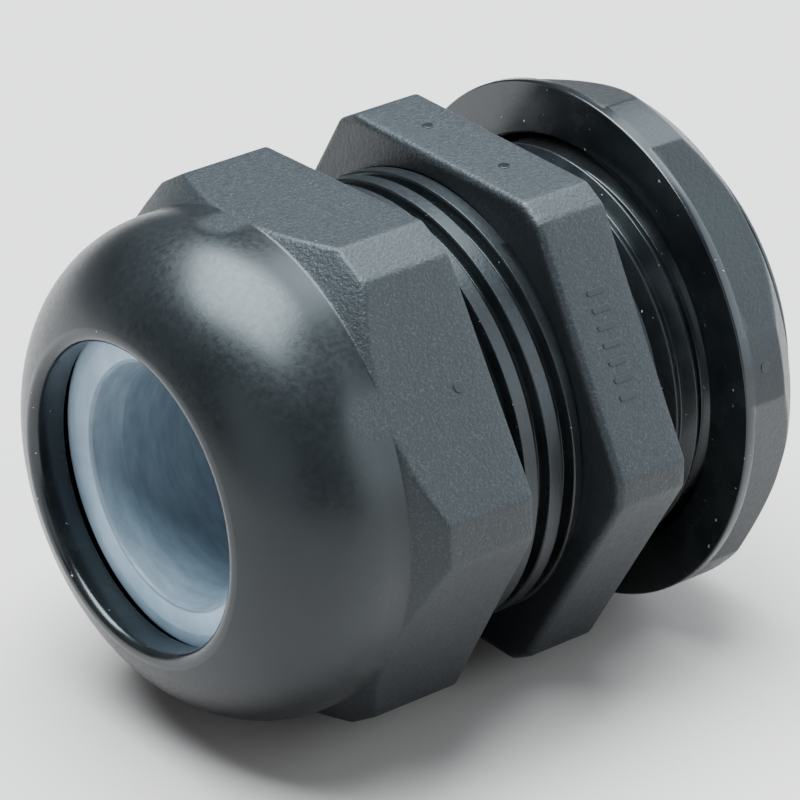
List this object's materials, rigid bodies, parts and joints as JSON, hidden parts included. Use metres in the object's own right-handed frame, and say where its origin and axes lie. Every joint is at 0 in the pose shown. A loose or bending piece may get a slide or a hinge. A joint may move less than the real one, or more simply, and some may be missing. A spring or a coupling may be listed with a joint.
{
  "type": "cable gland",
  "caption": "Domed plastic cable gland with sealing insert, clamping fingers, hexagonal cap nut and body, threaded entry and locknut.",
  "frame": {"origin": "on the gland's axis, in the body's face that seals on the panel", "axes": "+X along the axis towards the entry thread's end, so the domed cap nut is at -X; +Z is the normal of the body hexagon's top flat"},
  "size_m": [0.036, 0.0304, 0.029],
  "materials": {
    "black_polyamide": "fine spark-eroded grain on the flats, smoother on the dome",
    "gloss_polyamide": "smooth moulded black",
    "grey_rubber": "smooth matt blue-grey"
  },
  "bodies": {
    "gland_body": {"gland_body": "black_polyamide"},
    "cap_nut": {"cap_nut": "black_polyamide"},
    "sealing_insert": {"sealing_insert": "grey_rubber"},
    "locknut_collar": {"locknut_collar": "gloss_polyamide"},
    "locknut": {"locknut": "gloss_polyamide"},
    "clamp_finger_01": {"clamp_finger_01": "black_polyamide"},
    "clamp_finger_02": {"clamp_finger_02": "black_polyamide"},
    "clamp_finger_03": {"clamp_finger_03": "black_polyamide"},
    "clamp_finger_04": {"clamp_finger_04": "black_polyamide"},
    "clamp_finger_05": {"clamp_finger_05": "black_polyamide"},
    "clamp_finger_06": {"clamp_finger_06": "black_polyamide"},
    "clamp_finger_07": {"clamp_finger_07": "black_polyamide"},
    "clamp_finger_08": {"clamp_finger_08": "black_polyamide"},
    "clamp_finger_09": {"clamp_finger_09": "black_polyamide"},
    "clamp_finger_10": {"clamp_finger_10": "black_polyamide"},
    "clamp_finger_11": {"clamp_finger_11": "black_polyamide"},
    "clamp_finger_12": {"clamp_finger_12": "black_polyamide"},
    "clamp_finger_13": {"clamp_finger_13": "black_polyamide"},
    "clamp_finger_14": {"clamp_finger_14": "black_polyamide"},
    "clamp_finger_15": {"clamp_finger_15": "black_polyamide"},
    "clamp_finger_16": {"clamp_finger_16": "black_polyamide"}
  },
  "joints": [
    {"name": "cap_travel", "type": "slide", "parent": "gland_body", "child": "sealing_insert", "axis": [1, 0, 0], "range_m": [-0.003, 0.005]},
    {"name": "cap_turn", "type": "hinge", "parent": "sealing_insert", "child": "cap_nut", "pos_m": [-0.0125, 0, 0], "axis": [1, 0, 0], "range_deg": [-655, 1091.5]},
    {"name": "locknut_travel", "type": "slide", "parent": "gland_body", "child": "locknut_collar", "axis": [-1, 0, 0], "range_m": [-0.0025, 0.0044]},
    {"name": "locknut_turn", "type": "hinge", "parent": "locknut_collar", "child": "locknut", "pos_m": [0.0065, 0, 0], "axis": [-1, 0, 0], "range_deg": [-638.5, 1123.5]},
    {"name": "finger_01_bend", "type": "hinge", "parent": "gland_body", "child": "clamp_finger_01", "pos_m": [-0.0133, 0, 0.0102], "axis": [0, -1, 0], "range_deg": [-2.2, 3.65]},
    {"name": "finger_02_bend", "type": "hinge", "parent": "gland_body", "child": "clamp_finger_02", "pos_m": [-0.0133, -0.0039, 0.00942], "axis": [0, -0.9239, -0.3827], "range_deg": [-2.2, 3.65]},
    {"name": "finger_03_bend", "type": "hinge", "parent": "gland_body", "child": "clamp_finger_03", "pos_m": [-0.0133, -0.00721, 0.00721], "axis": [0, -0.7071, -0.7071], "range_deg": [-2.2, 3.65]},
    {"name": "finger_04_bend", "type": "hinge", "parent": "gland_body", "child": "clamp_finger_04", "pos_m": [-0.0133, -0.00942, 0.0039], "axis": [0, -0.3827, -0.9239], "range_deg": [-2.2, 3.65]},
    {"name": "finger_05_bend", "type": "hinge", "parent": "gland_body", "child": "clamp_finger_05", "pos_m": [-0.0133, -0.0102, 0], "axis": [0, 0, -1], "range_deg": [-2.2, 3.65]},
    {"name": "finger_06_bend", "type": "hinge", "parent": "gland_body", "child": "clamp_finger_06", "pos_m": [-0.0133, -0.00942, -0.0039], "axis": [0, 0.3827, -0.9239], "range_deg": [-2.2, 3.65]},
    {"name": "finger_07_bend", "type": "hinge", "parent": "gland_body", "child": "clamp_finger_07", "pos_m": [-0.0133, -0.00721, -0.00721], "axis": [0, 0.7071, -0.7071], "range_deg": [-2.2, 3.65]},
    {"name": "finger_08_bend", "type": "hinge", "parent": "gland_body", "child": "clamp_finger_08", "pos_m": [-0.0133, -0.0039, -0.00942], "axis": [0, 0.9239, -0.3827], "range_deg": [-2.2, 3.65]},
    {"name": "finger_09_bend", "type": "hinge", "parent": "gland_body", "child": "clamp_finger_09", "pos_m": [-0.0133, 0, -0.0102], "axis": [0, 1, 0], "range_deg": [-2.2, 3.65]},
    {"name": "finger_10_bend", "type": "hinge", "parent": "gland_body", "child": "clamp_finger_10", "pos_m": [-0.0133, 0.0039, -0.00942], "axis": [0, 0.9239, 0.3827], "range_deg": [-2.2, 3.65]},
    {"name": "finger_11_bend", "type": "hinge", "parent": "gland_body", "child": "clamp_finger_11", "pos_m": [-0.0133, 0.00721, -0.00721], "axis": [0, 0.7071, 0.7071], "range_deg": [-2.2, 3.65]},
    {"name": "finger_12_bend", "type": "hinge", "parent": "gland_body", "child": "clamp_finger_12", "pos_m": [-0.0133, 0.00942, -0.0039], "axis": [0, 0.3827, 0.9239], "range_deg": [-2.2, 3.65]},
    {"name": "finger_13_bend", "type": "hinge", "parent": "gland_body", "child": "clamp_finger_13", "pos_m": [-0.0133, 0.0102, 0], "axis": [0, 0, 1], "range_deg": [-2.2, 3.65]},
    {"name": "finger_14_bend", "type": "hinge", "parent": "gland_body", "child": "clamp_finger_14", "pos_m": [-0.0133, 0.00942, 0.0039], "axis": [0, -0.3827, 0.9239], "range_deg": [-2.2, 3.65]},
    {"name": "finger_15_bend", "type": "hinge", "parent": "gland_body", "child": "clamp_finger_15", "pos_m": [-0.0133, 0.00721, 0.00721], "axis": [0, -0.7071, 0.7071], "range_deg": [-2.2, 3.65]},
    {"name": "finger_16_bend", "type": "hinge", "parent": "gland_body", "child": "clamp_finger_16", "pos_m": [-0.0133, 0.0039, 0.00942], "axis": [0, -0.9239, 0.3827], "range_deg": [-2.2, 3.65]}
  ],
  "couplings": [
    {"joint": "cap_turn", "follows": "cap_travel", "rad_per_m": 3808},
    {"joint": "locknut_turn", "follows": "locknut_travel", "rad_per_m": 4453},
    {"joint": "finger_01_bend", "follows": "cap_travel", "rad_per_m": 12.566},
    {"joint": "finger_02_bend", "follows": "cap_travel", "rad_per_m": 12.566},
    {"joint": "finger_03_bend", "follows": "cap_travel", "rad_per_m": 12.566},
    {"joint": "finger_04_bend", "follows": "cap_travel", "rad_per_m": 12.566},
    {"joint": "finger_05_bend", "follows": "cap_travel", "rad_per_m": 12.566},
    {"joint": "finger_06_bend", "follows": "cap_travel", "rad_per_m": 12.566},
    {"joint": "finger_07_bend", "follows": "cap_travel", "rad_per_m": 12.566},
    {"joint": "finger_08_bend", "follows": "cap_travel", "rad_per_m": 12.566},
    {"joint": "finger_09_bend", "follows": "cap_travel", "rad_per_m": 12.566},
    {"joint": "finger_10_bend", "follows": "cap_travel", "rad_per_m": 12.566},
    {"joint": "finger_11_bend", "follows": "cap_travel", "rad_per_m": 12.566},
    {"joint": "finger_12_bend", "follows": "cap_travel", "rad_per_m": 12.566},
    {"joint": "finger_13_bend", "follows": "cap_travel", "rad_per_m": 12.566},
    {"joint": "finger_14_bend", "follows": "cap_travel", "rad_per_m": 12.566},
    {"joint": "finger_15_bend", "follows": "cap_travel", "rad_per_m": 12.566},
    {"joint": "finger_16_bend", "follows": "cap_travel", "rad_per_m": 12.566}
  ]
}
